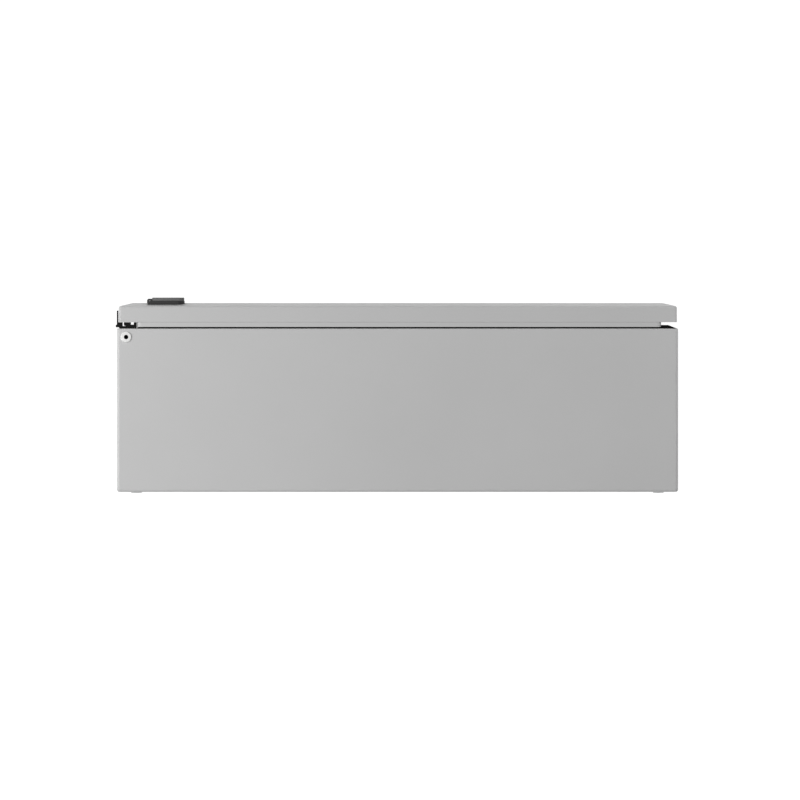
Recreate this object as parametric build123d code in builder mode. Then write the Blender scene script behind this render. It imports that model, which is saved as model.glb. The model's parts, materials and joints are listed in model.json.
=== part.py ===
"""Wall-mounted sheet-steel equipment enclosure with one flanged, bevelled door.

Millimetres. X runs to the right as one faces the door, Z runs up, and the door faces -Y.
The origin is the centre of the four wall-fixing holes, on the plane of the wall.
"Depth" means distance in front of the rear panel's outer face, so it grows towards the door.
"""

from build123d import *
import os

# Cabinet
WIDTH = 600.0
HEIGHT = 600.0
BODY_DEPTH = 174.7
BODY_SHEET = 1.5
BEND = 3.0  # outside radius of the corner bends
FRONT_BEND = 0.9
DOORWAY = 516.0  # clear square opening inside the front flanges
DOORWAY_CORNER = 6.0

# Rear panel and wall fixings
WRAP_DEPTH = 3.0  # the rear panel and the front flange stop this far inside the outline
FIXING_PITCH = 558.0
FIXING_HOLE = 3.3
BOSS_HEIGHT = 1.0
BOSS_FOOT = 6.4
BOSS_FACE = 5.4

# Door
DOOR_SHEET = 1.2
DOOR_LEFT = -298.7
DOOR_RIGHT = 298.1
DOOR_HALF_HEIGHT = 298.5
DOOR_BACK = 181.5  # depth of the flanges' free edge
DOOR_FRONT = 202.0
BEVEL_RUN = 15.0
BEVEL_DROP = 3.6
DOOR_CORNER = 2.6

# Stiffening frame welded inside the door
FRAME_SHEET = 1.2
FRAME_LEFT = -281.8
FRAME_RIGHT = 278.3
FRAME_BACK = 176.4
FRAME_FRONT = 196.4
FRAME_SHELF = 181.0  # depth of the shelf that carries the gasket
FRAME_FOLD = 6.0
FRAME_CORNER = 4.0
FRAME_COLLAR_TOP = 298.4
FRAME_COLLAR_FRONT = 181.4
FRAME_WINDOW = 515.0
HINGE_NOTCH = (9.0, 52.0)

# Door gasket
GASKET_OUTER = 540.0
GASKET_INNER = 520.0
SEAL_GAP = 0.4

# Black edge seal on the front flange, along the hinge side, the roof and the floor
RIM_EDGE = 299.0
RIM_CREST = 289.3
RIM_INNER = 283.0
RIM_TOP = 178.5
RIM_END_EDGE = 296.0
RIM_END_SHEET = 1.65

# Guard along the closing edge
GUARD_HALF_LENGTH = 297.0
GUARD_FOOT = 278.7
GUARD_NOSE = 301.2
GUARD_TIP = 193.9
GUARD_CROWN = 181.35
GUARD_SCREW_X = 288.7
GUARD_SCREW_PITCH = 108.0
GUARD_SCREWS = 6
GUARD_SCREW = 2.0

# Hinges, as radii about the pin and half-lengths along it
HINGE_X = -293.0
HINGE_DEPTH = 186.5
HINGE_HEIGHTS = {"upper": 190.0, "lower": -190.0}
KNUCKLE = 4.2
PIN = 2.2
PIN_RUNNING = 0.05
EYE_HALF = 10.0
EAR_GAP = 0.3
EAR_HALF = 20.0
BRACKET_HALF = 24.0
BRACKET_SHEET = 1.0
BRACKET_EDGES = (-282.4, -270.6)
NECK_EDGES = (-281.2, -277.9)
BRACKET_SCREW_X = -274.2
BRACKET_SCREW_PITCH = 36.0
BRACKET_SCREW = 1.5

# Locks: each entry is the height of the lock's centre and the way that the open cam points
LOCKS = {"upper": (258.2, -1), "lower": (-218.8, 1)}
LOCK_EDGES = (227.5, 267.5)
LOCK_LENGTH = 66.0
LOCK_CORNER = 7.0
LOCK_HINGE_CORNER = 1.5
LOCK_RISE = 2.3
LUG_EDGE = 262.4
LUG_RISE = 4.6
LUG_LENGTH = 8.0
FLAP_AXIS_X = 265.0
FLAP_AXIS_DEPTH = 204.5
FLAP_BARREL = 2.1
FLAP_PIN = 0.8
FLAP_BACK = 204.4
FLAP_FRONT = 207.8
FLAP_EDGES = (227.9, 262.2)
FLAP_CORNER = 6.0
FLAP_GAP = 0.3
ROTOR_X = 247.5
ROTOR_BELOW_CENTRE = 17.0
ROTOR_HEAD = 8.0
ROTOR_SHAFT = 6.0
ROTOR_KEY = 7.0
KEY_WELL = 4.4
NECK = 9.0
NECK_BACK = 186.0
LOCK_NUT_FLATS = 22.0
LOCK_NUT_HEIGHT = 3.4
CAM_FRONT = 172.3
CAM_SHEET = 3.0
CAM_REACH = 28.0
CAM_WIDTH = 13.0
CAM_SCREW = 2.0
SLIDE_FIT = 0.05

# Mounting plate
PLATE_SIZE = 510.0
PLATE_BACK = 12.0
PLATE_SHEET = 2.0
PLATE_PITCH = 470.0
STUD = 4.0
STUD_END = 25.0
SPACER = 7.0
WASHER = 8.0
WASHER_SHEET = 1.6
NUT_FLATS = 13.0
NUT_HEIGHT = 6.5

# Gland plate over the opening in the floor
GLAND_HOLE = (400.0, 90.0)
GLAND_PLATE = (430.0, 120.0)
GLAND_CENTRE = 87.0
GLAND_SEAL = 3.0
GLAND_SHEET = 2.0
GLAND_SCREW = 2.4
GLAND_SCREW_EDGE = 7.0

# White grommet in the roof
GROMMET_X = 290.2
GROMMET_DEPTH = 165.6
GROMMET_FLANGE = 5.6
GROMMET_NECK = 3.95
GROMMET_BORE = 2.4

# Earth studs
EARTH_X = -200.0
EARTH_HEIGHTS = {"body": -268.0, "door": -225.0}
EARTH_STUD = 3.0
EARTH_LENGTH = 16.0
EARTH_NUT_FLATS = 10.0
EARTH_NUT_HEIGHT = 5.0


def facing(depth):
    """Plane parallel to the door, with its normal out of the front."""
    return Plane.XZ.offset(BOSS_HEIGHT + depth)


def level(height):
    """Horizontal plane on which the local y axis is the world's Y."""
    return Plane.XY.offset(height)


def plan(x, depth):
    """Point on a horizontal plane, given by its x and its depth."""
    return (x, -(BOSS_HEIGHT + depth))


def save(piece, name):
    """Labels a finished piece and writes it as parts/NAME.step."""
    piece.label = name
    export_step(piece, f"parts/{name}.step")


def gland_screw_points():
    """The eight gland-plate screws as (x, depth)."""
    reach_x = GLAND_PLATE[0] / 2 - GLAND_SCREW_EDGE
    reach_depth = GLAND_PLATE[1] / 2 - GLAND_SCREW_EDGE
    columns = [-reach_x, -reach_x / 3, reach_x / 3, reach_x]
    rows = [GLAND_CENTRE - reach_depth, GLAND_CENTRE + reach_depth]
    return [(x, depth) for x in columns for depth in rows]


def guard_screw_points():
    """The guard's screws as (x, z)."""
    first = -GUARD_SCREW_PITCH * (GUARD_SCREWS - 1) / 2
    return [(GUARD_SCREW_X, first + GUARD_SCREW_PITCH * i) for i in range(GUARD_SCREWS)]


def bracket_screw_points(height):
    """The two screws of the hinge bracket at that height, as (x, z)."""
    half = BRACKET_SCREW_PITCH / 2
    return [(BRACKET_SCREW_X, height - half), (BRACKET_SCREW_X, height + half)]


def corner_points(pitch):
    """The corners of a square about the origin."""
    half = pitch / 2
    return [(x, z) for x in (-half, half) for z in (-half, half)]


def disc(points, radius, depth, length, mode=Mode.ADD):
    """Round bars about the given (x, z) points, from one depth forwards by a length."""
    with BuildSketch(facing(depth)) as outline:
        with Locations(*points):
            Circle(radius)
    extrude(outline.sketch, amount=length, mode=mode)


def hexagon(points, flats, depth, length):
    """Hexagonal bars about the given (x, z) points."""
    with BuildSketch(facing(depth)) as outline:
        with Locations(*points):
            RegularPolygon(flats / 2, 6, major_radius=False)
    extrude(outline.sketch, amount=length)


# ---------------------------------------------------------------- cabinet


def body_shell():
    """The cabinet's sheet metal without its rear panel, as one solid to be cut into panels."""
    with BuildPart() as shell:
        with BuildSketch(facing(0)):
            Rectangle(WIDTH, HEIGHT)
        extrude(amount=BODY_DEPTH)
        fillet(shell.edges().filter_by(Axis.Y), radius=BEND)
        fillet(shell.faces().sort_by(Axis.Y)[-1].edges(), radius=BEND - 0.2)
        fillet(shell.faces().sort_by(Axis.Y)[0].edges(), radius=FRONT_BEND)
        with BuildSketch(facing(BODY_SHEET)):
            RectangleRounded(WIDTH - 2 * BODY_SHEET, HEIGHT - 2 * BODY_SHEET, BEND - BODY_SHEET)
        extrude(amount=BODY_DEPTH - 2 * BODY_SHEET, mode=Mode.SUBTRACT)
        with BuildSketch(facing(BODY_DEPTH - BODY_SHEET)):
            RectangleRounded(DOORWAY, DOORWAY, DOORWAY_CORNER)
        extrude(amount=BODY_SHEET, mode=Mode.SUBTRACT)
        with BuildSketch(facing(0)):
            Rectangle(WIDTH - 2 * WRAP_DEPTH, HEIGHT - 2 * WRAP_DEPTH)
        extrude(amount=BODY_SHEET, mode=Mode.SUBTRACT)
        with BuildSketch(level(-HEIGHT / 2)):
            with Locations(plan(0, GLAND_CENTRE)):
                RectangleRounded(*GLAND_HOLE, 5)
            with Locations(*[plan(*point) for point in gland_screw_points()]):
                Circle(GLAND_SCREW + SLIDE_FIT)
        extrude(amount=BODY_SHEET, mode=Mode.SUBTRACT)
        with BuildSketch(level(HEIGHT / 2 - BODY_SHEET)):
            with Locations(plan(GROMMET_X, GROMMET_DEPTH)):
                Circle(GROMMET_NECK + SLIDE_FIT)
        extrude(amount=BODY_SHEET, mode=Mode.SUBTRACT)
        flange = BODY_DEPTH - BODY_SHEET
        disc(guard_screw_points(), GUARD_SCREW + SLIDE_FIT, flange, BODY_SHEET, Mode.SUBTRACT)
        for height in HINGE_HEIGHTS.values():
            points = bracket_screw_points(height)
            disc(points, BRACKET_SCREW + SLIDE_FIT, flange, BODY_SHEET, Mode.SUBTRACT)
    return shell.part


def cut_from_shell(shell, middle, size, start):
    """The part of the shell in front of a depth and inside a rectangle."""
    with BuildPart() as panel:
        add(shell)
        with BuildSketch(facing(start)):
            with Locations(middle):
                Rectangle(*size)
        extrude(amount=BODY_DEPTH - start, mode=Mode.INTERSECT)
    return panel.part


def make_body_panels():
    """Roof, floor, sides and front flange, cut from the shell along their welds."""
    shell = body_shell()
    inner = HEIGHT / 2 - WRAP_DEPTH
    side = (2 * WRAP_DEPTH, 2 * inner)
    cuts = {
        "roof_panel": ((0, HEIGHT / 2), (WIDTH, 2 * WRAP_DEPTH)),
        "floor_panel": ((0, -HEIGHT / 2), (WIDTH, 2 * WRAP_DEPTH)),
        "left_side": ((-WIDTH / 2, 0), side),
        "right_side": ((WIDTH / 2, 0), side),
    }
    for name, (middle, size) in cuts.items():
        save(cut_from_shell(shell, middle, size, 0), name)
    turn = DOORWAY / 2 - DOORWAY_CORNER
    band = inner - turn
    middle = turn + band / 2
    level_strip = (2 * inner, band)
    upright_strip = (band, 2 * turn)
    strips = [
        cut_from_shell(shell, (0, middle), level_strip, BODY_DEPTH / 2),
        cut_from_shell(shell, (0, -middle), level_strip, BODY_DEPTH / 2),
        cut_from_shell(shell, (middle, 0), upright_strip, BODY_DEPTH / 2),
        cut_from_shell(shell, (-middle, 0), upright_strip, BODY_DEPTH / 2),
    ]
    save(Compound([strip.solid() for strip in strips]), "front_flange")


def make_rear_panel():
    """Flat rear panel with a pressed boss round each wall-fixing hole."""
    with BuildPart() as panel:
        with BuildSketch(facing(0)):
            Rectangle(WIDTH - 2 * WRAP_DEPTH, HEIGHT - 2 * WRAP_DEPTH)
        extrude(amount=BODY_SHEET)
        for point in corner_points(FIXING_PITCH):
            boss(point, BOSS_FOOT, 0, BOSS_FACE, -BOSS_HEIGHT, Mode.ADD)
            boss(point, BOSS_FACE, BODY_SHEET, BOSS_FACE - 1, BODY_SHEET - BOSS_HEIGHT, Mode.SUBTRACT)
        length = BOSS_HEIGHT + BODY_SHEET
        disc(corner_points(FIXING_PITCH), FIXING_HOLE, -BOSS_HEIGHT, length, Mode.SUBTRACT)
    save(panel.part, "rear_panel")


def boss(point, radius_a, depth_a, radius_b, depth_b, mode):
    """Cone frustum between two depths."""
    ends = []
    for radius, depth in ((radius_a, depth_a), (radius_b, depth_b)):
        with BuildSketch(facing(depth)) as end:
            with Locations(point):
                Circle(radius)
        ends.append(end.sketch.face())
    loft(ends, mode=mode)


def make_rim_seal():
    """Ramped strip up the hinge side and thin strips under the door's upper and lower edges."""
    with BuildPart() as rim:
        with BuildSketch(level(-GUARD_HALF_LENGTH)):
            with BuildLine():
                Polyline(
                    plan(-RIM_EDGE, BODY_DEPTH),
                    plan(-RIM_CREST, RIM_TOP),
                    plan(-RIM_INNER, RIM_TOP),
                    plan(-RIM_INNER, BODY_DEPTH),
                    close=True,
                )
            make_face()
        extrude(amount=2 * GUARD_HALF_LENGTH)
        span = GUARD_FOOT + RIM_INNER - 0.5
        middle = (GUARD_FOOT - RIM_INNER - 0.5) / 2
        end_width = RIM_END_EDGE - RIM_INNER
        end_centre = (RIM_END_EDGE + RIM_INNER) / 2
        with BuildSketch(facing(BODY_DEPTH)):
            with Locations((middle, end_centre), (middle, -end_centre)):
                Rectangle(span, end_width)
        extrude(amount=RIM_END_SHEET)
    save(rim.part, "rim_seal")


def make_closing_guard():
    """Ribbed strip on the closing side, with a lip that stands beside the door's edge."""
    with BuildPart() as guard:
        with BuildSketch(level(-GUARD_HALF_LENGTH)):
            with BuildLine():
                Polyline(
                    plan(GUARD_FOOT, BODY_DEPTH),
                    plan(297.2, BODY_DEPTH),
                    plan(298.0, 175.9),
                    plan(GUARD_NOSE, 176.1),
                    plan(GUARD_NOSE, 178.5),
                    plan(300.05, 179.0),
                    plan(300.05, GUARD_TIP),
                    plan(298.7, GUARD_TIP),
                    plan(298.7, GUARD_CROWN),
                    plan(293.9, GUARD_CROWN),
                    plan(293.9, 177.4),
                    plan(289.0, 177.4),
                    plan(289.0, 178.5),
                    plan(292.6, 178.5),
                    plan(292.6, GUARD_CROWN),
                    plan(285.0, GUARD_CROWN),
                    plan(285.0, 178.9),
                    plan(281.9, 178.9),
                    plan(281.9, GUARD_CROWN),
                    plan(GUARD_FOOT, GUARD_CROWN),
                    close=True,
                )
            make_face()
        extrude(amount=2 * GUARD_HALF_LENGTH)
        disc(guard_screw_points(), GUARD_SCREW, BODY_DEPTH, 3.0, Mode.SUBTRACT)
        disc(guard_screw_points(), 3.6, BODY_DEPTH + 3.0, 4.0, Mode.SUBTRACT)
    save(guard.part, "closing_guard")


def make_guard_screws():
    """Pan-head screws sunk into the guard's middle rib."""
    points = guard_screw_points()
    with BuildPart() as screws:
        disc(points, GUARD_SCREW, BODY_DEPTH - 10.0, 13.0)
        disc(points, 3.5, BODY_DEPTH + 3.0, 2.4)
        with BuildSketch(facing(BODY_DEPTH + 4.2)):
            with Locations(*points):
                RegularPolygon(1.3, 6, major_radius=False)
        extrude(amount=1.2, mode=Mode.SUBTRACT)
    save(screws.part, "guard_screws")


def make_gland_plate():
    """Cover plate, its gasket and its screws, fitted from inside the cabinet."""
    floor = -HEIGHT / 2 + BODY_SHEET
    points = [plan(*point) for point in gland_screw_points()]
    with BuildPart() as seal:
        with BuildSketch(level(floor)):
            with Locations(plan(0, GLAND_CENTRE)):
                RectangleRounded(*GLAND_PLATE, 4)
                RectangleRounded(*GLAND_HOLE, 5, mode=Mode.SUBTRACT)
            with Locations(*points):
                Circle(GLAND_SCREW + SLIDE_FIT, mode=Mode.SUBTRACT)
        extrude(amount=GLAND_SEAL)
    save(seal.part, "gland_gasket")
    with BuildPart() as plate:
        with BuildSketch(level(floor + GLAND_SEAL)):
            with Locations(plan(0, GLAND_CENTRE)):
                RectangleRounded(*GLAND_PLATE, 4)
            with Locations(*points):
                Circle(GLAND_SCREW + SLIDE_FIT, mode=Mode.SUBTRACT)
        extrude(amount=GLAND_SHEET)
    save(plate.part, "gland_plate")
    with BuildPart() as screws:
        with BuildSketch(level(-HEIGHT / 2 + 0.2)):
            with Locations(*points):
                Circle(GLAND_SCREW)
        extrude(amount=BODY_SHEET - 0.2 + GLAND_SEAL + GLAND_SHEET)
        with BuildSketch(level(floor + GLAND_SEAL + GLAND_SHEET)):
            with Locations(*points):
                RegularPolygon(4.0, 6, major_radius=False)
        extrude(amount=3.4)
    save(screws.part, "gland_screws")


def make_roof_grommet():
    """White bush through the roof, above and below the sheet."""
    roof = HEIGHT / 2
    with BuildPart() as grommet:
        with BuildSketch(level(roof - BODY_SHEET - 1.2)):
            with Locations(plan(GROMMET_X, GROMMET_DEPTH)):
                Circle(GROMMET_FLANGE)
        extrude(amount=1.2)
        with BuildSketch(level(roof - BODY_SHEET)):
            with Locations(plan(GROMMET_X, GROMMET_DEPTH)):
                Circle(GROMMET_NECK)
        extrude(amount=BODY_SHEET)
        with BuildSketch(level(roof)):
            with Locations(plan(GROMMET_X, GROMMET_DEPTH)):
                Circle(GROMMET_FLANGE)
        extrude(amount=1.6)
        fillet(grommet.faces().sort_by(Axis.Z)[-1].edges(), radius=0.6)
        with BuildSketch(level(roof - BODY_SHEET - 1.2)):
            with Locations(plan(GROMMET_X, GROMMET_DEPTH)):
                Circle(GROMMET_BORE)
        extrude(amount=BODY_SHEET + 2.8, mode=Mode.SUBTRACT)
    save(grommet.part, "roof_grommet")


def make_mounting_plate():
    """Mounting plate with the studs, spacers, washers and nuts that hold it to the rear panel."""
    points = corner_points(PLATE_PITCH)
    with BuildPart() as studs:
        disc(points, STUD, BODY_SHEET, STUD_END - BODY_SHEET)
        chamfer(studs.faces().sort_by(Axis.Y)[:4].edges(), length=0.8)
    save(studs.part, "plate_studs")
    with BuildPart() as spacers:
        disc(points, SPACER, BODY_SHEET, PLATE_BACK - BODY_SHEET)
        disc(points, STUD + SLIDE_FIT, BODY_SHEET, PLATE_BACK - BODY_SHEET, Mode.SUBTRACT)
    save(spacers.part, "plate_spacers")
    with BuildPart() as plate:
        with BuildSketch(facing(PLATE_BACK)):
            RectangleRounded(PLATE_SIZE, PLATE_SIZE, 8)
            with Locations(*points):
                Circle(STUD + SLIDE_FIT, mode=Mode.SUBTRACT)
        extrude(amount=PLATE_SHEET)
    save(plate.part, "mounting_plate")
    with BuildPart() as washers:
        disc(points, WASHER, PLATE_BACK + PLATE_SHEET, WASHER_SHEET)
        disc(points, STUD + SLIDE_FIT, PLATE_BACK + PLATE_SHEET, WASHER_SHEET, Mode.SUBTRACT)
    save(washers.part, "plate_washers")
    seat = PLATE_BACK + PLATE_SHEET + WASHER_SHEET
    with BuildPart() as nuts:
        hexagon(points, NUT_FLATS, seat, NUT_HEIGHT)
        disc(points, STUD, seat, NUT_HEIGHT, Mode.SUBTRACT)
    save(nuts.part, "plate_nuts")


def make_earth_points():
    """An earth stud and nut on the rear panel, and another on the inside of the door."""
    point = (EARTH_X, EARTH_HEIGHTS["body"])
    with BuildPart() as body_stud:
        disc([point], EARTH_STUD, BODY_SHEET, EARTH_LENGTH)
    save(body_stud.part, "body_earth_stud")
    with BuildPart() as body_nut:
        hexagon([point], EARTH_NUT_FLATS, BODY_SHEET, EARTH_NUT_HEIGHT)
        disc([point], EARTH_STUD, BODY_SHEET, EARTH_NUT_HEIGHT, Mode.SUBTRACT)
    save(body_nut.part, "body_earth_nut")
    point = (EARTH_X, EARTH_HEIGHTS["door"])
    inner_face = DOOR_FRONT - DOOR_SHEET
    with BuildPart() as door_stud:
        disc([point], EARTH_STUD, inner_face - EARTH_LENGTH, EARTH_LENGTH)
    save(door_stud.part, "door_earth_stud")
    with BuildPart() as door_nut:
        hexagon([point], EARTH_NUT_FLATS, inner_face - EARTH_NUT_HEIGHT, EARTH_NUT_HEIGHT)
        disc([point], EARTH_STUD, inner_face - EARTH_NUT_HEIGHT, EARTH_NUT_HEIGHT, Mode.SUBTRACT)
    save(door_nut.part, "door_earth_nut")


# ---------------------------------------------------------------- hinges


def make_hinge(which):
    """Bracket, pin and eye of one concealed hinge."""
    height = HINGE_HEIGHTS[which]
    with BuildPart() as bracket:
        with BuildSketch(facing(BODY_DEPTH)):
            with Locations((sum(BRACKET_EDGES) / 2, height)):
                Rectangle(BRACKET_EDGES[1] - BRACKET_EDGES[0], 2 * BRACKET_HALF)
        extrude(amount=BRACKET_SHEET)
        ear = EAR_HALF - EYE_HALF - EAR_GAP
        for bottom in (height - EAR_HALF, height + EYE_HALF + EAR_GAP):
            with BuildSketch(level(bottom)):
                with BuildLine():
                    Polyline(
                        plan(NECK_EDGES[1], BODY_DEPTH + BRACKET_SHEET),
                        plan(NECK_EDGES[1], HINGE_DEPTH + KNUCKLE),
                        plan(HINGE_X, HINGE_DEPTH + KNUCKLE),
                        plan(HINGE_X, HINGE_DEPTH),
                        plan(NECK_EDGES[0], HINGE_DEPTH),
                        plan(NECK_EDGES[0], BODY_DEPTH + BRACKET_SHEET),
                        close=True,
                    )
                make_face()
                with Locations(plan(HINGE_X, HINGE_DEPTH)):
                    Circle(KNUCKLE)
                    Circle(PIN, mode=Mode.SUBTRACT)
            extrude(amount=ear)
        points = bracket_screw_points(height)
        disc(points, BRACKET_SCREW, BODY_DEPTH, BRACKET_SHEET, Mode.SUBTRACT)
    save(bracket.part, f"hinge_{which}_bracket")
    with BuildPart() as pin:
        with BuildSketch(level(height - EAR_HALF - 1.0)):
            with Locations(plan(HINGE_X, HINGE_DEPTH)):
                Circle(PIN)
        extrude(amount=2 * EAR_HALF + 1.0)
        with BuildSketch(level(height + EAR_HALF)):
            with Locations(plan(HINGE_X, HINGE_DEPTH)):
                Circle(PIN + 1.3)
        extrude(amount=1.4)
        chamfer(pin.faces().sort_by(Axis.Z)[0].edges(), length=0.5)
    save(pin.part, f"hinge_{which}_pin")
    with BuildPart() as eye:
        with BuildSketch(level(height - EYE_HALF)):
            with BuildLine():
                Polyline(
                    plan(DOOR_LEFT + DOOR_SHEET, HINGE_DEPTH - 2.0),
                    plan(DOOR_LEFT + DOOR_SHEET, HINGE_DEPTH + 10.0),
                    plan(HINGE_X, HINGE_DEPTH + 10.0),
                    plan(HINGE_X + KNUCKLE, HINGE_DEPTH + 4.0),
                    plan(HINGE_X + KNUCKLE, HINGE_DEPTH),
                    plan(HINGE_X, HINGE_DEPTH - 2.0),
                    close=True,
                )
            make_face()
            with Locations(plan(HINGE_X, HINGE_DEPTH)):
                Circle(KNUCKLE)
                Circle(PIN + PIN_RUNNING, mode=Mode.SUBTRACT)
        extrude(amount=2 * EYE_HALF)
    save(eye.part, f"hinge_{which}_eye")


def make_hinge_screws():
    """Screws through the front flange into both brackets, heads inside the cabinet."""
    points = [point for z in HINGE_HEIGHTS.values() for point in bracket_screw_points(z)]
    flange = BODY_DEPTH - BODY_SHEET
    with BuildPart() as screws:
        disc(points, BRACKET_SCREW, flange, BODY_SHEET + BRACKET_SHEET)
        disc(points, 2.8, flange - 2.2, 2.2)
        with BuildSketch(facing(flange - 2.2)):
            with Locations(*points):
                RegularPolygon(1.1, 6, major_radius=False)
        extrude(amount=1.2, mode=Mode.SUBTRACT)
    save(screws.part, "hinge_screws")


# ---------------------------------------------------------------- door


def door_block(inset, back, shoulder, front, bend):
    """Block with bevelled front edges, its sides inset from the door's outline, its bends rounded."""
    width = DOOR_RIGHT - DOOR_LEFT - 2 * inset
    height = 2 * (DOOR_HALF_HEIGHT - inset)
    run = BEVEL_RUN - inset * 0.8
    centre = ((DOOR_LEFT + DOOR_RIGHT) / 2, 0)
    with BuildPart() as block:
        with BuildSketch(facing(back)):
            with Locations(centre):
                Rectangle(width, height)
        extrude(amount=shoulder - back)
        with BuildSketch(facing(shoulder)) as low:
            with Locations(centre):
                Rectangle(width, height)
        with BuildSketch(facing(front)) as high:
            with Locations(centre):
                Rectangle(width - 2 * run, height - 2 * run)
        loft([low.sketch.face(), high.sketch.face()])
        lowest = -(BOSS_HEIGHT + front) + 0.01
        highest = -(BOSS_HEIGHT + back) - 0.01
        bends = [edge for edge in block.edges() if lowest < edge.center().Y < highest]
        fillet(bends, radius=bend)
    return block.part


def make_door_panel():
    """Door skin: flat face, four bevels and four flanges turned back."""
    shoulder = DOOR_FRONT - BEVEL_DROP
    outside = door_block(0, DOOR_BACK, shoulder, DOOR_FRONT, DOOR_CORNER)
    inside = door_block(
        DOOR_SHEET, DOOR_BACK, shoulder - DOOR_SHEET + 0.15, DOOR_FRONT - DOOR_SHEET, 0.8
    )
    with BuildPart() as panel:
        add(outside)
        add(inside, mode=Mode.SUBTRACT)
        for centre, _ in LOCKS.values():
            rotor = [(ROTOR_X, centre - ROTOR_BELOW_CENTRE)]
            disc(rotor, NECK + SLIDE_FIT, DOOR_FRONT - DOOR_SHEET, DOOR_SHEET, Mode.SUBTRACT)
    save(panel.part, "door_panel")


def make_door_frame():
    """Folded channel frame inside the door, stepped to carry the gasket."""
    width = FRAME_RIGHT - FRAME_LEFT
    height = 2 * (DOOR_HALF_HEIGHT - DOOR_SHEET)
    middle = (FRAME_LEFT + FRAME_RIGHT) / 2
    step_width = width - 2 * FRAME_FOLD
    step_height = height - 2 * FRAME_FOLD
    inner_corner = FRAME_CORNER - FRAME_SHEET
    collar = (width, 2 * FRAME_COLLAR_TOP)
    with BuildPart() as frame:
        with BuildSketch(facing(FRAME_BACK)):
            with Locations((middle, 0)):
                RectangleRounded(width, height, FRAME_CORNER)
            Rectangle(FRAME_WINDOW, FRAME_WINDOW, mode=Mode.SUBTRACT)
        extrude(amount=FRAME_FRONT - FRAME_BACK)
        with BuildSketch(facing(FRAME_BACK)):
            with Locations((middle, 0)):
                RectangleRounded(*collar, FRAME_CORNER)
                RectangleRounded(width, height, FRAME_CORNER, mode=Mode.SUBTRACT)
        extrude(amount=FRAME_COLLAR_FRONT - FRAME_BACK)
        with BuildSketch(facing(FRAME_BACK)):
            with Locations((middle, 0)):
                Rectangle(step_width, step_height)
        extrude(amount=FRAME_SHELF - FRAME_BACK, mode=Mode.SUBTRACT)
        with BuildSketch(facing(FRAME_SHELF + FRAME_SHEET)):
            with Locations((middle, 0)):
                RectangleRounded(width - 2 * FRAME_SHEET, height - 2 * FRAME_SHEET, inner_corner)
            wall = FRAME_WINDOW + 2 * FRAME_SHEET
            Rectangle(wall, wall, mode=Mode.SUBTRACT)
        extrude(amount=FRAME_FRONT - FRAME_SHELF - FRAME_SHEET, mode=Mode.SUBTRACT)
        with BuildSketch(facing(FRAME_BACK + FRAME_SHEET)):
            with Locations((middle, 0)):
                RectangleRounded(width - 2 * FRAME_SHEET, height - 2 * FRAME_SHEET, inner_corner)
                Rectangle(
                    step_width + 2 * FRAME_SHEET, step_height + 2 * FRAME_SHEET, mode=Mode.SUBTRACT
                )
        extrude(amount=FRAME_SHELF - FRAME_BACK, mode=Mode.SUBTRACT)
        with BuildSketch(facing(FRAME_BACK)):
            for z in HINGE_HEIGHTS.values():
                with Locations((FRAME_LEFT + HINGE_NOTCH[0] / 2, z)):
                    Rectangle(*HINGE_NOTCH)
        extrude(amount=FRAME_FRONT - FRAME_BACK, mode=Mode.SUBTRACT)
    save(frame.part, "door_frame")


def make_door_gasket():
    """Foam ring on the frame's shelf, just clear of the cabinet's front flange."""
    with BuildPart() as gasket:
        with BuildSketch(facing(BODY_DEPTH + SEAL_GAP)):
            RectangleRounded(GASKET_OUTER, GASKET_OUTER, 8)
            RectangleRounded(GASKET_INNER, GASKET_INNER, 5, mode=Mode.SUBTRACT)
        extrude(amount=FRAME_SHELF - BODY_DEPTH - SEAL_GAP)
    save(gasket.part, "door_gasket")


# ---------------------------------------------------------------- locks


def make_lock(which):
    """Every piece of one quarter-turn lock."""
    centre, open_way = LOCKS[which]
    axis = [(ROTOR_X, centre - ROTOR_BELOW_CENTRE)]
    make_lock_housing(which, centre, axis)
    make_lock_flap(which, centre)
    make_lock_rotor(which, axis)
    make_lock_cam(which, axis, open_way)


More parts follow.
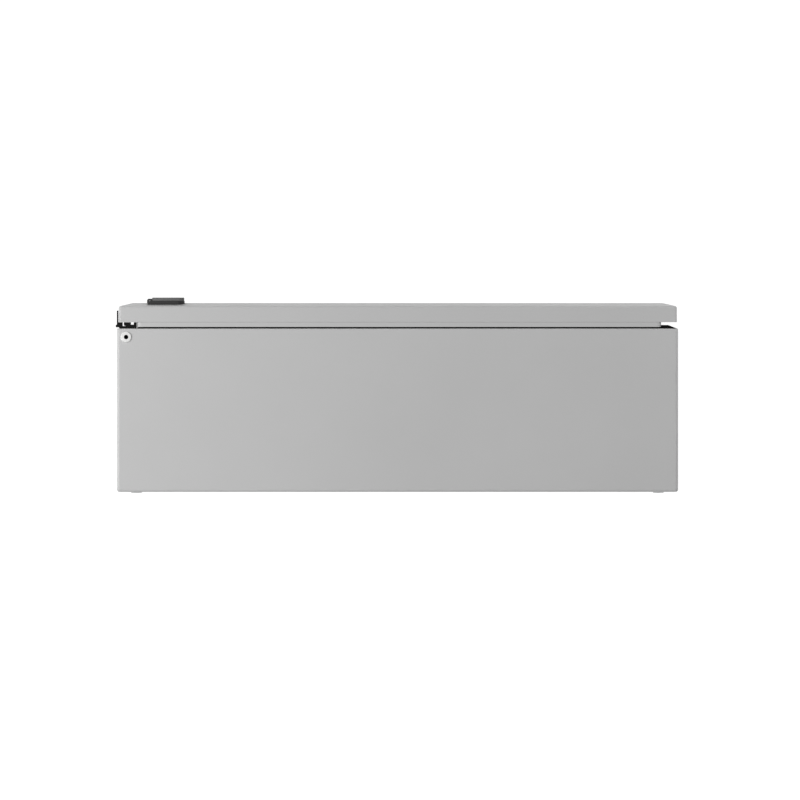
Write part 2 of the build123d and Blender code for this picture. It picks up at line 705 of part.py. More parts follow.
def make_lock_housing(which, centre, axis):
    """Pad on the door with lugs for the flap, a neck through the skin, and the nut on the neck."""
    door = door_block(0, DOOR_BACK, DOOR_FRONT - BEVEL_DROP, DOOR_FRONT, DOOR_CORNER)
    width = LOCK_EDGES[1] - LOCK_EDGES[0]
    face = DOOR_FRONT + LOCK_RISE
    with BuildPart() as housing:
        with BuildSketch(facing(DOOR_FRONT - BEVEL_DROP)) as outline:
            with Locations((sum(LOCK_EDGES) / 2, centre)):
                Rectangle(width, LOCK_LENGTH)
            fillet(outline.vertices().sort_by(Axis.X)[:2], radius=LOCK_CORNER)
            fillet(outline.vertices().sort_by(Axis.X)[-2:], radius=LOCK_HINGE_CORNER)
        extrude(amount=BEVEL_DROP + LOCK_RISE)
        add(door, mode=Mode.SUBTRACT)
        reach = (LOCK_LENGTH - LUG_LENGTH) / 2
        with BuildSketch(facing(DOOR_FRONT + 1.0)):
            with Locations(((LUG_EDGE + LOCK_EDGES[1]) / 2, centre)):
                with GridLocations(0, 2 * reach, 1, 2):
                    Rectangle(LOCK_EDGES[1] - LUG_EDGE, LUG_LENGTH)
        extrude(amount=LUG_RISE - 1.0)
        top_edges = housing.faces().sort_by(Axis.Y)[:2].edges().filter_by(Axis.Z)
        fillet(top_edges, radius=1.6)
        channel = LOCK_LENGTH / 2 - LUG_LENGTH
        with BuildSketch(level(centre - channel)):
            with Locations(plan(FLAP_AXIS_X + 0.5, FLAP_AXIS_DEPTH + 0.4)):
                Rectangle(2 * FLAP_BARREL + 1.7, 2 * FLAP_BARREL + 1.4)
        extrude(amount=2 * channel, mode=Mode.SUBTRACT)
        with BuildSketch(level(centre - LOCK_LENGTH / 2)):
            with Locations(plan(FLAP_AXIS_X, FLAP_AXIS_DEPTH)):
                Circle(FLAP_PIN)
        extrude(amount=LOCK_LENGTH, mode=Mode.SUBTRACT)
        disc(axis, NECK, NECK_BACK, DOOR_FRONT - NECK_BACK)
        disc(axis, ROTOR_SHAFT + SLIDE_FIT, NECK_BACK, face - NECK_BACK, Mode.SUBTRACT)
        disc(axis, ROTOR_HEAD + SLIDE_FIT, DOOR_FRONT, LOCK_RISE, Mode.SUBTRACT)
    save(housing.part, f"lock_{which}_housing")
    with BuildPart() as nut:
        seat = DOOR_FRONT - DOOR_SHEET - LOCK_NUT_HEIGHT
        hexagon(axis, LOCK_NUT_FLATS, seat, LOCK_NUT_HEIGHT)
        disc(axis, NECK, seat, LOCK_NUT_HEIGHT, Mode.SUBTRACT)
    save(nut.part, f"lock_{which}_nut")


def make_lock_flap(which, centre):
    """Dust flap hinged on the housing's outer edge, with its pin."""
    half_barrel = LOCK_LENGTH / 2 - LUG_LENGTH - FLAP_GAP
    width = FLAP_EDGES[1] - FLAP_EDGES[0]
    with BuildPart() as flap:
        with BuildSketch(facing(FLAP_BACK)) as outline:
            with Locations((sum(FLAP_EDGES) / 2, centre)):
                Rectangle(width, LOCK_LENGTH - 1.0)
            fillet(outline.vertices().sort_by(Axis.X)[:2], radius=FLAP_CORNER)
        extrude(amount=FLAP_FRONT - FLAP_BACK)
        chamfer(flap.faces().sort_by(Axis.Y)[0].edges(), length=0.5)
        with BuildSketch(level(centre - half_barrel)):
            with Locations(plan((FLAP_EDGES[1] + FLAP_AXIS_X) / 2, FLAP_AXIS_DEPTH + 1.3)):
                Rectangle(FLAP_AXIS_X - FLAP_EDGES[1], 1.6)
            with Locations(plan(FLAP_AXIS_X, FLAP_AXIS_DEPTH)):
                Circle(FLAP_BARREL)
                Circle(FLAP_PIN + SLIDE_FIT, mode=Mode.SUBTRACT)
        extrude(amount=2 * half_barrel)
        with BuildSketch(level(centre - LOCK_LENGTH / 4)):
            with Locations(plan(FLAP_EDGES[0] + 4.0, FLAP_FRONT + 1.2)):
                Circle(2.2)
        extrude(amount=LOCK_LENGTH / 2, mode=Mode.SUBTRACT)
    save(flap.part, f"lock_{which}_flap")
    with BuildPart() as pin:
        with BuildSketch(level(centre - LOCK_LENGTH / 2)):
            with Locations(plan(FLAP_AXIS_X, FLAP_AXIS_DEPTH)):
                Circle(FLAP_PIN)
        extrude(amount=LOCK_LENGTH)
    save(pin.part, f"lock_{which}_flap_pin")


def make_lock_rotor(which, axis):
    """Turning barrel with a well for a double-bit key in front and a square tail behind."""
    head_face = DOOR_FRONT + LOCK_RISE - 0.3
    with BuildPart() as rotor:
        disc(axis, ROTOR_HEAD, DOOR_FRONT + 0.3, head_face - DOOR_FRONT - 0.3)
        chamfer(rotor.faces().sort_by(Axis.Y)[0].edges(), length=0.4)
        disc(axis, ROTOR_SHAFT, CAM_FRONT, DOOR_FRONT + 0.3 - CAM_FRONT)
        with BuildSketch(facing(CAM_FRONT - CAM_SHEET)):
            with Locations(*axis):
                Rectangle(ROTOR_KEY, ROTOR_KEY)
        extrude(amount=CAM_SHEET)
        disc(axis, CAM_SCREW, CAM_FRONT - CAM_SHEET, 10.0, Mode.SUBTRACT)
        disc(axis, KEY_WELL, head_face - 7.0, 7.0, Mode.SUBTRACT)
        with BuildSketch(facing(head_face - 7.0)):
            with Locations(*axis):
                Circle(1.6)
                Rectangle(6.4, 1.5)
        extrude(amount=6.2)
    save(rotor.part, f"lock_{which}_rotor")


def make_lock_cam(which, axis, open_way):
    """Flat cam on the rotor's square tail, shown open, and the screw that holds it."""
    x, z = axis[0]
    back = CAM_FRONT - CAM_SHEET
    with BuildPart() as cam:
        with BuildSketch(facing(back)):
            with Locations((x, z + (CAM_REACH / 2 - 4.0) * open_way)):
                RectangleRounded(CAM_WIDTH, CAM_REACH + 8.0, 3.0)
            with Locations((x, z)):
                Rectangle(ROTOR_KEY, ROTOR_KEY, mode=Mode.SUBTRACT)
        extrude(amount=CAM_SHEET)
    save(cam.part, f"lock_{which}_cam")
    with BuildPart() as cam_screw:
        disc(axis, CAM_SCREW, back, 8.0)
        disc(axis, 5.6, back - 1.0, 1.0)
        hexagon(axis, 7.0, back - 4.0, 3.0)
    save(cam_screw.part, f"lock_{which}_cam_screw")


os.makedirs("parts", exist_ok=True)
make_body_panels()
make_rear_panel()
make_rim_seal()
make_closing_guard()
make_guard_screws()
make_gland_plate()
make_roof_grommet()
make_mounting_plate()
make_earth_points()
for name in HINGE_HEIGHTS:
    make_hinge(name)
make_hinge_screws()
make_door_panel()
make_door_frame()
make_door_gasket()
for name in LOCKS:
    make_lock(name)
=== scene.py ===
"""Looks for the wall-mounted equipment enclosure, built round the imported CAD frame."""

import json
import math
from collections import namedtuple

import bmesh
import bpy
from mathutils import Matrix, Vector, noise


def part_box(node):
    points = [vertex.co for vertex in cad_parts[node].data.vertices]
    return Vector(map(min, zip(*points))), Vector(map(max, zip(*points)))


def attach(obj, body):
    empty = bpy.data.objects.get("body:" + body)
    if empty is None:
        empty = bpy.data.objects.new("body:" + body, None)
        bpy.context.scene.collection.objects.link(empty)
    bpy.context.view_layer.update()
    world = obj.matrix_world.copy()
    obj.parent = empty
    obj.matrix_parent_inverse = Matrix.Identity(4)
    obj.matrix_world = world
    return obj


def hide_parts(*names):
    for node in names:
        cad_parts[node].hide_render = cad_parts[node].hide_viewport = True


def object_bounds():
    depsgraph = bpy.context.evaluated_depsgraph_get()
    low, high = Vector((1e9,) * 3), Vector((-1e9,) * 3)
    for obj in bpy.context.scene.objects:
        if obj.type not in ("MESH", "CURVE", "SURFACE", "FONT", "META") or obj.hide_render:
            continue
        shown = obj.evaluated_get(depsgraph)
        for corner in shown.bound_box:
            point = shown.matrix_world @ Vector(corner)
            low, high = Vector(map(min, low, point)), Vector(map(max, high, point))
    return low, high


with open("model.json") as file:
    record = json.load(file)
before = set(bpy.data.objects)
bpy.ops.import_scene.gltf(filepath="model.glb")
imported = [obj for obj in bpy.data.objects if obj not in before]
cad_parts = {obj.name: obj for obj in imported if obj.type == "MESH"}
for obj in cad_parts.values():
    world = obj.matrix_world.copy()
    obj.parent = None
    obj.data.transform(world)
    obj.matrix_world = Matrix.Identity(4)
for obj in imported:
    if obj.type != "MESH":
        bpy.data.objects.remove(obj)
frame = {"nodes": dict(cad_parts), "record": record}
CAD_BOX = [list(corner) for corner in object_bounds()]
NODES = frame["nodes"]
SCENE = bpy.context.scene
SLOT_OF = {part["node"]: part["material_slot"] for part in frame["record"]["subparts"]}

# ------------------------------------------------------------------ materials


class Surface:
    """A material's node tree with short helpers. Textures run on object coordinates, in metres."""

    def __init__(self, name):
        self.material = bpy.data.materials.new(name)
        self.material.use_nodes = True
        self.tree = self.material.node_tree
        self.shader = self.tree.nodes["Principled BSDF"]
        self.coords = self.add("ShaderNodeTexCoord").outputs["Object"]

    def add(self, kind, **settings):
        node = self.tree.nodes.new(kind)
        for key, value in settings.items():
            setattr(node, key, value)
        return node

    def link(self, source, target):
        self.tree.links.new(source, target)

    def stretched(self, stretch):
        mapping = self.add("ShaderNodeMapping")
        mapping.inputs["Scale"].default_value = stretch
        self.link(self.coords, mapping.inputs["Vector"])
        return mapping.outputs["Vector"]

    def noise(self, scale, detail=3.0, roughness=0.5, stretch=(1, 1, 1), distortion=0.0):
        node = self.add("ShaderNodeTexNoise")
        node.inputs["Scale"].default_value = scale
        node.inputs["Detail"].default_value = detail
        node.inputs["Roughness"].default_value = roughness
        node.inputs["Distortion"].default_value = distortion
        self.link(self.stretched(stretch), node.inputs["Vector"])
        return node.outputs["Fac"]

    def cells(self, scale, output="Distance", feature="F1"):
        node = self.add("ShaderNodeTexVoronoi", feature=feature)
        node.inputs["Scale"].default_value = scale
        self.link(self.coords, node.inputs["Vector"])
        return node.outputs[output]

    def ramp(self, source, stops):
        node = self.add("ShaderNodeValToRGB")
        elements = node.color_ramp.elements
        while len(elements) < len(stops):
            elements.new(0.5)
        for element, (place, colour) in zip(elements, stops):
            element.position = place
            element.color = (*colour, 1.0)
        self.link(source, node.inputs["Fac"])
        return node.outputs["Color"]

    def remap(self, source, low, high, from_low=0.3, from_high=0.7):
        node = self.add("ShaderNodeMapRange")
        node.inputs["From Min"].default_value = from_low
        node.inputs["From Max"].default_value = from_high
        node.inputs["To Min"].default_value = low
        node.inputs["To Max"].default_value = high
        self.link(source, node.inputs["Value"])
        return node.outputs["Result"]

    def math(self, operation, a, b):
        node = self.add("ShaderNodeMath", operation=operation)
        for value, socket in ((a, node.inputs[0]), (b, node.inputs[1])):
            if isinstance(value, float):
                socket.default_value = value
            else:
                self.link(value, socket)
        return node.outputs["Value"]

    def bump(self, *layers):
        """Chains (height, distance, strength) layers into the shader's normal."""
        normal = None
        for height, distance, strength in layers:
            node = self.add("ShaderNodeBump")
            node.inputs["Distance"].default_value = distance
            node.inputs["Strength"].default_value = strength
            self.link(height, node.inputs["Height"])
            if normal is not None:
                self.link(normal, node.inputs["Normal"])
            normal = node.outputs["Normal"]
        self.link(normal, self.shader.inputs["Normal"])

    def set(self, **sockets):
        for name, value in sockets.items():
            socket = self.shader.inputs[name.replace("_", " ")]
            if isinstance(value, (int, float, tuple)):
                socket.default_value = value
            else:
                self.link(value, socket)


def grey(value):
    return (value, value, value)


def powder_coat(name, tone):
    """Fine-textured satin powder coat with faint cloudiness and slight handling marks."""
    m = Surface(name)
    clouds = m.noise(scale=5.0, detail=4.0, roughness=0.55)
    grain = m.noise(scale=1500.0, detail=2.0, roughness=0.6)
    smudge = m.noise(scale=14.0, detail=5.0, roughness=0.6, distortion=0.6)
    shade = m.math("ADD", m.math("MULTIPLY", clouds, 0.75), m.math("MULTIPLY", grain, 0.25))
    m.set(Base_Color=m.ramp(shade, [(0.3, grey(tone * 0.97)), (0.7, grey(tone * 1.03))]))
    m.set(Roughness=m.math("ADD", m.remap(smudge, 0.40, 0.50), m.remap(grain, -0.02, 0.03)))
    m.set(Specular_IOR_Level=0.25)
    texture = m.noise(scale=420.0, detail=2.0)
    m.bump((texture, 0.0004, 0.22), (grain, 0.0001, 0.2))
    return m.material


def galvanised(name, tone):
    """Zinc-coated sheet with soft spangle and a rolled direction."""
    m = Surface(name)
    cell_scale = 95.0
    split = m.add("ShaderNodeSeparateColor")
    m.link(m.cells(cell_scale, "Color"), split.inputs["Color"])
    facets = split.outputs["Red"]
    rolled = m.noise(scale=60.0, detail=3.0, roughness=0.6, stretch=(1, 1, 14))
    shade = m.math("ADD", m.math("MULTIPLY", facets, 0.6), m.math("MULTIPLY", rolled, 0.4))
    dull = grey(tone * 0.84)
    bright = (tone * 1.04, tone * 1.05, tone * 1.07)
    m.set(Base_Color=m.ramp(shade, [(0.15, dull), (0.85, bright)]))
    m.set(Metallic=1.0, Roughness=m.remap(facets, 0.30, 0.46, from_low=0.0, from_high=1.0))
    domes = m.cells(cell_scale, "Distance", "SMOOTH_F1")
    m.bump((domes, 0.0002, 0.10), (rolled, 0.0001, 0.10))
    return m.material


def plated(name, colour, roughness):
    """Bright plated or polished metal with a little turning grain and tarnish."""
    m = Surface(name)
    patches = m.noise(scale=120.0, detail=3.0, roughness=0.6)
    grain = m.noise(scale=900.0, detail=2.0, roughness=0.5, stretch=(1, 6, 1))
    tarnish = tuple(channel * 0.82 for channel in colour)
    m.set(Base_Color=m.ramp(patches, [(0.35, tarnish), (0.62, colour)]))
    m.set(Metallic=1.0, Roughness=m.remap(patches, roughness * 1.35, roughness * 0.85))
    m.bump((grain, 0.0001, 0.15))
    return m.material


def moulded(name, tone, roughness, specular, warm=0.0):
    """Moulded plastic or rubber with a fine spark-eroded grain."""
    m = Surface(name)
    depth = 0.00015
    grains = m.cells(1400.0)
    flow = m.noise(scale=25.0, detail=3.0)
    dark = (tone * 0.85, tone * 0.85, tone * (0.85 - warm))
    light = (tone * 1.15, tone * 1.15, tone * (1.15 - warm))
    m.set(Base_Color=m.ramp(flow, [(0.35, dark), (0.65, light)]))
    m.set(Roughness=m.remap(flow, roughness - 0.05, roughness + 0.06), Specular_IOR_Level=specular)
    m.bump((grains, depth, 0.25), (m.noise(scale=300.0, detail=2.0), depth, 0.15))
    return m.material


def foam(name, tone):
    """Foamed-in-place seal: closed skin with small pores, painted darker in their pits as painted
    shade.
    """
    m = Surface(name)
    pores = m.cells(900.0)
    waves = m.noise(scale=90.0, detail=3.0)
    # The pores are pitted by the bump and painted darker than the skin: painted shade in the pits
    m.set(Base_Color=m.ramp(pores, [(0.1, grey(tone * 0.5)), (0.45, grey(tone * 1.3))]))
    m.set(Roughness=0.85, Specular_IOR_Level=0.2)
    m.bump((pores, 0.0004, 0.45), (waves, 0.0004, 0.3))
    return m.material


MATERIALS = {
    "body_paint": powder_coat("body_powder_coat", tone=0.56),
    "door_paint": powder_coat("door_powder_coat", tone=0.55),
    "zinc_plate": galvanised("galvanised_sheet", tone=0.62),
    "zinc_fixing": plated("zinc_plating", (0.66, 0.67, 0.68), roughness=0.30),
    "bright_steel": plated("bright_steel", (0.72, 0.72, 0.71), roughness=0.18),
    "brass_fixing": plated("brass", (0.72, 0.53, 0.22), roughness=0.24),
    "black_rubber": moulded("black_rubber", tone=0.003, roughness=0.8, specular=0.08),
    "foam_seal": foam("foam_seal", tone=0.02),
    "black_plastic": moulded("black_plastic", tone=0.004, roughness=0.6, specular=0.15),
    "black_screw": plated("blackened_screw", grey(0.05), roughness=0.42),
    "hinge_steel": moulded("hinge_coating", tone=0.03, roughness=0.42, specular=0.4),
    "white_nylon": moulded("white_nylon", tone=0.80, roughness=0.42, specular=0.35, warm=0.01),
    "lock_grey": moulded("lock_plastic_dark", tone=0.032, roughness=0.5, specular=0.25),
    "lock_cover_grey": moulded("lock_plastic_flap", tone=0.135, roughness=0.45, specular=0.35),
}
for name, node in NODES.items():
    for holder in node.material_slots:
        holder.material = MATERIALS[SLOT_OF[name]]

# ------------------------------------------------------------------ shaped pieces

FRONT = Vector((0, -1, 0))
BACK = Vector((0, 1, 0))
UP = Vector((0, 0, 1))
WELD_GAP = 1e-6

Thread = namedtuple("Thread", "radius pitch flats")
M8 = Thread(radius=0.004, pitch=0.00125, flats=0.013)
M6 = Thread(radius=0.003, pitch=0.001, flats=0.010)
M5 = Thread(radius=0.0024, pitch=0.0008, flats=0.008)
M4 = Thread(radius=0.002, pitch=0.0007, flats=0.007)
LOCK_BARREL = Thread(radius=0.009, pitch=0.001, flats=0.022)
THREAD_FIT = 0.00002
GLAND_HEAD = 0.0034
CAM_SHANK = 0.008
CAM_WASHER = 0.001
CAM_HEAD = 0.003
HEAD_DISH = 0.0022

PanScrew = namedtuple("PanScrew", "shaft shaft_length head head_height socket_flats socket_depth")
GUARD_SCREW = PanScrew(
    shaft=0.002, shaft_length=0.013, head=0.0035, head_height=0.0024,
    socket_flats=0.0026, socket_depth=0.0012)
HINGE_SCREW = PanScrew(
    shaft=0.0015, shaft_length=0.0025, head=0.0028, head_height=0.0022,
    socket_flats=0.0022, socket_depth=0.0012)

GASKET_INNER = 0.26
GASKET_CORNER = 0.006
BEAD_INSET = 0.0004
BEAD_SWELL = 0.0003
BEAD_SWAY = 0.00035


def islands(name):
    """(low, high) corners of each separate solid in one CAD node."""
    mesh = bmesh.new()
    mesh.from_mesh(NODES[name].data)
    bmesh.ops.remove_doubles(mesh, verts=mesh.verts, dist=WELD_GAP)
    seen = set()
    found = []
    for start in mesh.verts:
        if start in seen:
            continue
        seen.add(start)
        stack = [start]
        points = []
        while stack:
            vertex = stack.pop()
            points.append(vertex.co.copy())
            for edge in vertex.link_edges:
                other = edge.other_vert(vertex)
                if other not in seen:
                    seen.add(other)
                    stack.append(other)
        low = Vector([min(point[axis] for point in points) for axis in range(3)])
        high = Vector([max(point[axis] for point in points) for axis in range(3)])
        found.append((low, high))
    mesh.free()
    return found


def finish_piece(mesh, name, body, slot, node):
    """Turns a bmesh into an object that rides on a body and stands for a CAD node."""
    bmesh.ops.recalc_face_normals(mesh, faces=mesh.faces)
    data = bpy.data.meshes.new(name)
    mesh.to_mesh(data)
    mesh.free()
    for polygon in data.polygons:
        polygon.use_smooth = True
    data.set_sharp_from_angle(angle=math.radians(32))
    data.materials.append(MATERIALS[slot])
    piece = bpy.data.objects.new(name, data)
    SCENE.collection.objects.link(piece)
    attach(piece, body)
    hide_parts(node)


def reshape(node, name, body, slot, direction, add_shape):
    """One new piece for a CAD node: add_shape(mesh, root, direction, length) for each solid."""
    mesh = bmesh.new()
    for low, high in islands(node):
        root = (low + high) / 2
        for axis in range(3):
            if direction[axis]:
                root[axis] = low[axis] if direction[axis] > 0 else high[axis]
        add_shape(mesh, root, direction, abs((high - low).dot(direction)))
    finish_piece(mesh, name, body, slot, node)


def add_rings(mesh, root, direction, rings, sides=48, closed=False):
    """Skins (radius, height) rings about an axis. A radius may be a function of the angle."""
    across = Vector((1, 0, 0))
    up = direction.cross(across)
    loops = []
    for radius, height in rings:
        loop = []
        for step in range(sides):
            angle = 2 * math.pi * step / sides
            spoke = across * math.cos(angle) + up * math.sin(angle)
            reach = radius(angle) if callable(radius) else radius
            loop.append(mesh.verts.new(root + direction * height + spoke * reach))
        loops.append(loop)
    pairs = list(zip(loops, loops[1:]))
    if closed:
        pairs.append((loops[-1], loops[0]))
    else:
        mesh.faces.new(loops[0])
        mesh.faces.new(loops[-1])
    for below, above in pairs:
        for step in range(sides):
            after = (step + 1) % sides
            mesh.faces.new((below[step], below[after], above[after], above[step]))


def hexagonal(flats, limit=math.inf):
    """Hexagon with a corner on the X axis, turned down to a limiting radius."""
    return lambda angle: min(flats / 2 / math.cos(angle % (math.pi / 3) - math.pi / 6), limit)


def chamfered_hexagon(flats, height, both=True):
    """Rings for a hexagon whose ends are turned to the washer face."""
    inscribed = flats / 2
    growth = inscribed * (1 / math.cos(math.pi / 6) - 1)
    drop = growth / math.sqrt(3)
    upper = []
    for share in (0.0, 0.35, 0.7, 1.0):
        limit = inscribed * 0.985 + growth * 1.1 * share
        upper.append((hexagonal(flats, limit), height - drop * share))
    if both:
        lower = [(radius, height - level) for radius, level in upper]
    else:
        lower = [(hexagonal(flats), 0.0)]
    return lower + upper[::-1]


def add_rod(mesh, root, direction, length, thread):
    """Threaded rod with a turned tip."""
    depth = 0.55 * thread.pitch
    tip = 1.2 * thread.pitch
    count = math.ceil(length / thread.pitch * 6)
    rings = []
    for step in range(count + 1):
        height = length * step / count
        limit = thread.radius - depth * max(0.0, 1 - (length - height) / tip)

        def profile(angle, height=height, limit=limit):
            phase = (height / thread.pitch - angle / (2 * math.pi)) % 1.0
            return min(thread.radius - depth * abs(2 * phase - 1), limit)

        rings.append((profile, height))
    add_rings(mesh, root, direction, rings, sides=24)


def add_hex_head(mesh, root, direction, flats, height, dish_depth):
    """Bolt head, chamfered on top, with a shallow dish in the middle."""
    dish = (HEAD_DISH, height - dish_depth)
    add_rings(mesh, root, direction, chamfered_hexagon(flats, height, both=False) + [dish])


def rod(thread):
    """Shape for reshape: a threaded rod as long as the solid."""
    return lambda mesh, root, direction, length: add_rod(mesh, root, direction, length, thread)


def nut(thread):
    """Shape for reshape: a chamfered nut as high as the solid."""

    def add_shape(mesh, root, direction, height):
        bore = thread.radius + THREAD_FIT
        lead = 0.0004
        inside = [(bore + lead, height), (bore, height - lead), (bore, lead), (bore + lead, 0.0)]
        rings = chamfered_hexagon(thread.flats, height) + inside
        add_rings(mesh, root, direction, rings, closed=True)

    return add_shape


def pan_screw(size):
    """Shape for reshape: a domed screw, whose root is the shaft's end."""

    def add_shape(mesh, root, direction, _length):
        shaft, seat = size.shaft, size.shaft_length
        head, rise = size.head, size.head_height
        socket = hexagonal(size.socket_flats)
        top = seat + rise
        rings = [(shaft * 0.8, 0.0), (shaft, shaft * 0.4), (shaft, seat), (head * 0.96, seat)]
        rings += [(head, seat + rise * 0.18), (head * 0.985, seat + rise * 0.5)]
        rings += [(head * 0.93, top - rise * 0.24), (head * 0.82, top - rise * 0.09)]
        rings += [(head * 0.66, top), (socket, top), (socket, top - size.socket_depth)]
        add_rings(mesh, root, direction, rings)

    return add_shape


def gland_bolt(mesh, root, direction, length):
    """Shape for reshape: a hexagon bolt whose head is at the far end."""
    shank = length - GLAND_HEAD
    add_rod(mesh, root, direction, shank, M5)
    add_hex_head(mesh, root + direction * shank, direction, M5.flats, GLAND_HEAD, 0.0003)


def cam_bolt(mesh, root, direction, _length):
    """Shape for reshape: the bolt and washer that hold a cam on its barrel."""
    overlap = 0.0001
    add_rod(mesh, root, direction, CAM_SHANK + overlap, M4)
    washer = [(0.0054, 0.0), (0.0056, 0.0002), (0.0056, 0.0006), (0.0050, 0.00095), (0.0036, 0.001)]
    add_rings(mesh, root + direction * CAM_SHANK, direction, washer)
    seat = root + direction * (CAM_SHANK + CAM_WASHER)
    add_hex_head(mesh, seat, direction, M4.flats, CAM_HEAD, 0.0002)


reshape("plate_studs", "plate_stud_threads", "cabinet", "zinc_fixing", FRONT, rod(M8))
reshape("plate_nuts", "plate_nuts_turned", "cabinet", "zinc_fixing", FRONT, nut(M8))
reshape("gland_screws", "gland_bolts", "cabinet", "zinc_fixing", UP, gland_bolt)
reshape("guard_screws", "guard_screws_turned", "cabinet", "black_screw", FRONT,
        pan_screw(GUARD_SCREW))
reshape("hinge_screws", "hinge_screws_turned", "cabinet", "zinc_fixing", BACK,
        pan_screw(HINGE_SCREW))
for place, body, direction in (("body", "cabinet", FRONT), ("door", "door", BACK)):
    for kind, shape in (("stud", rod(M6)), ("nut", nut(M6))):
        node = f"{place}_earth_{kind}"
        reshape(node, f"{node}_turned", body, "brass_fixing", direction, shape)
for which in ("upper", "lower"):
    node = f"lock_{which}_nut"
    reshape(node, f"{node}_turned", "door", "bright_steel", FRONT, nut(LOCK_BARREL))
    node = f"lock_{which}_cam_screw"
    barrel = f"lock_{which}_cylinder"
    reshape(node, f"lock_{which}_cam_bolt", barrel, "zinc_fixing", BACK, cam_bolt)


def rounded_square(half, corner, straight_steps, corner_steps):
    """Closed path in x and z, as (point, outward normal) pairs."""
    path = []
    for quarter in range(4):
        turn = Matrix.Rotation(quarter * math.pi / 2, 2)
        for step in range(corner_steps):
            angle = math.pi / 2 * step / corner_steps
            normal = Vector((math.cos(angle), math.sin(angle)))
            point = Vector((half - corner, half - corner)) + normal * corner
            path.append((turn @ point, turn @ normal))
        for step in range(straight_steps):
            along = (half - corner) * (1 - 2 * step / straight_steps)
            path.append((turn @ Vector((along, half)), turn @ Vector((0, 1))))
    return path


def add_foam_bead(mesh, half, width, root, crest):
    """Foamed-in-place bead: a domed section that wanders slightly along its run."""
    sections = 12
    loops = []
    for point, normal in rounded_square(half, GASKET_CORNER, straight_steps=90, corner_steps=8):
        sway = noise.noise(Vector((point.x, point.y, 0)) * 22.0)
        swell = noise.noise(Vector((point.x, point.y, 5)) * 40.0)
        half_width = width / 2 - BEAD_INSET + BEAD_SWELL * swell
        loop = []
        for step in range(sections + 1):
            angle = math.pi * step / sections
            across = math.cos(angle) * half_width + BEAD_SWAY * sway
            rise = math.sin(angle) ** 0.6 * (crest - root) * (0.97 + 0.03 * swell)
            spot = point + normal * across
            loop.append(mesh.verts.new((spot.x, root + rise, spot.y)))
        loops.append(loop)
    for here, there in zip(loops, loops[1:] + loops[:1]):
        for step in range(sections + 1):
            after = (step + 1) % (sections + 1)
            mesh.faces.new((here[step], here[after], there[after], there[step]))


mesh = bmesh.new()
low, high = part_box("door_gasket")
add_foam_bead(mesh, (high.x + GASKET_INNER) / 2, high.x - GASKET_INNER, low.y, high.y)
finish_piece(mesh, "door_foam_bead", "door", "foam_seal", "door_gasket")

# ------------------------------------------------------------------ broken edges

# Edge widths in metres for the pressed, moulded and turned pieces that keep their CAD shape
BROKEN_EDGES = {
    "door_panel": 0.0003,
    "door_frame": 0.0003,
    "rear_panel": 0.0003,
    "mounting_plate": 0.0004,
    "plate_spacers": 0.0004,
    "plate_washers": 0.0003,
    "gland_plate": 0.0004,
    "closing_guard": 0.00015,
    "rim_seal": 0.0002,
}
for which in ("upper", "lower"):
    BROKEN_EDGES[f"hinge_{which}_bracket"] = 0.0002
    BROKEN_EDGES[f"hinge_{which}_eye"] = 0.0003
    BROKEN_EDGES[f"hinge_{which}_pin"] = 0.0003
    BROKEN_EDGES[f"lock_{which}_housing"] = 0.0003
    BROKEN_EDGES[f"lock_{which}_flap"] = 0.0003
    BROKEN_EDGES[f"lock_{which}_rotor"] = 0.0002
    BROKEN_EDGES[f"lock_{which}_cam"] = 0.0004


def break_edges(node, width):
    """Rounds the sharp edges of a CAD node with modifiers; its mesh stays as it is."""
    weld = node.modifiers.new("weld", "WELD")
    weld.merge_threshold = WELD_GAP
    flats = node.modifiers.new("flat_faces", "DECIMATE")
    flats.decimate_type = "DISSOLVE"
    flats.angle_limit = math.radians(0.5)
    bevel = node.modifiers.new("broken_edges", "BEVEL")
    bevel.width = width
    bevel.segments = 2
    bevel.limit_method = "ANGLE"
    bevel.angle_limit = math.radians(38)
    bevel.use_clamp_overlap = True
    shading = node.modifiers.new("shading", "WEIGHTED_NORMAL")
    shading.keep_sharp = False


for name, width in BROKEN_EDGES.items():
    break_edges(NODES[name], width)

# ------------------------------------------------------------------ floor, light and camera

FLOOR_HEIGHT = CAD_BOX[0][2]
FLOOR_REACH = 60.0
corners = [(-1, -1), (1, -1), (1, 1), (-1, 1)]
floor_points = [(x * FLOOR_REACH, y * FLOOR_REACH, FLOOR_HEIGHT) for x, y in corners]
floor_mesh = bpy.data.meshes.new("studio_floor")
floor_mesh.from_pydata(floor_points, [], [(0, 1, 2, 3)])
floor = bpy.data.objects.new("studio_floor", floor_mesh)
SCENE.collection.objects.link(floor)
floor_material = bpy.data.materials.new("studio_floor_white")
floor_material.use_nodes = True
floor_shader = floor_material.node_tree.nodes["Principled BSDF"]
floor_shader.inputs["Base Color"].default_value = (0.14, 0.14, 0.14, 1)
floor_shader.inputs["Roughness"].default_value = 0.9
floor_shader.inputs["Emission Color"].default_value = (1, 1, 1, 1)
floor_shader.inputs["Emission Strength"].default_value = 0.99
floor_mesh.materials.append(floor_material)

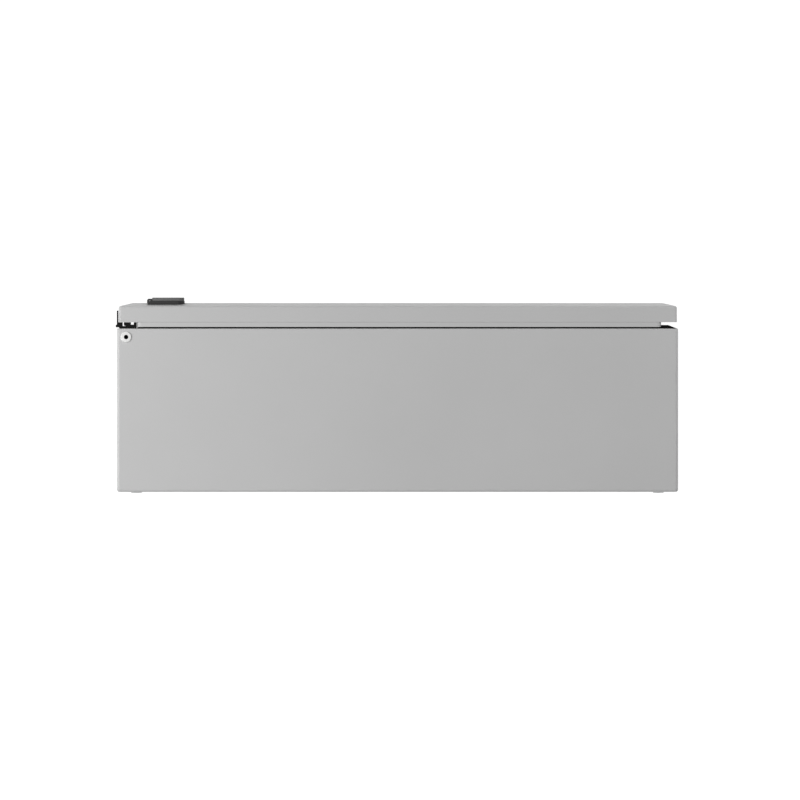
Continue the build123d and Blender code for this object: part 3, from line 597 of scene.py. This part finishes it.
# The surroundings light the object softly, and are as white as the floor behind it in level views
AMBIENT = 0.17
world = bpy.data.worlds.new("studio")
SCENE.world = world
world.use_nodes = True
background = world.node_tree.nodes["Background"]
background.inputs["Color"].default_value = (1, 1, 1, 1)
light_path = world.node_tree.nodes.new("ShaderNodeLightPath")
strength = world.node_tree.nodes.new("ShaderNodeMath")
strength.operation = "MULTIPLY_ADD"
strength.inputs[1].default_value = 1.0 - AMBIENT
strength.inputs[2].default_value = AMBIENT
world.node_tree.links.new(light_path.outputs["Is Camera Ray"], strength.inputs[0])
world.node_tree.links.new(strength.outputs["Value"], background.inputs["Strength"])


ROOF_MIDDLE = Vector((0.0, -0.1, 0.3))


def area_light(name, place, size, power):
    """Square light over the roof, turned towards its middle."""
    data = bpy.data.lights.new(name, "AREA")
    data.shape = "SQUARE"
    data.size = size
    data.energy = power
    light = bpy.data.objects.new(name, data)
    SCENE.collection.objects.link(light)
    light.visible_camera = False
    light.location = place
    light.rotation_euler = (ROOF_MIDDLE - Vector(place)).to_track_quat("-Z", "Y").to_euler()


area_light("key", (1.35, 0.0, 1.8), size=2.0, power=35.5)
area_light("fill", (0.8, -0.4, 1.0), size=0.7, power=1.9)
area_light("side", (-0.8, -0.4, 0.6), size=0.6, power=1.8)

# The camera looks down on the roof from far above one front corner
SENSOR = 36.0
LENS = 1400.0
FIELD = 0.8551
VIEW_CENTRE = Vector((-0.0026, -0.0993, ROOF_MIDDLE.z))
NADIR = Vector((0.285, -0.180, ROOF_MIDDLE.z))
camera_data = bpy.data.cameras.new("camera")
camera_data.lens = LENS
camera_data.sensor_width = SENSOR
camera_data.clip_start = 1.0
camera_data.clip_end = 100.0
camera = bpy.data.objects.new("camera", camera_data)
SCENE.collection.objects.link(camera)
eye = NADIR + UP * (LENS * FIELD / SENSOR)
back = (eye - VIEW_CENTRE).normalized()
right = FRONT.cross(back).normalized()
axes = Matrix((right, back.cross(right), back)).transposed()
camera.matrix_world = Matrix.Translation(eye) @ axes.to_4x4()
SCENE.camera = camera
SCENE.view_settings.view_transform = "Standard"
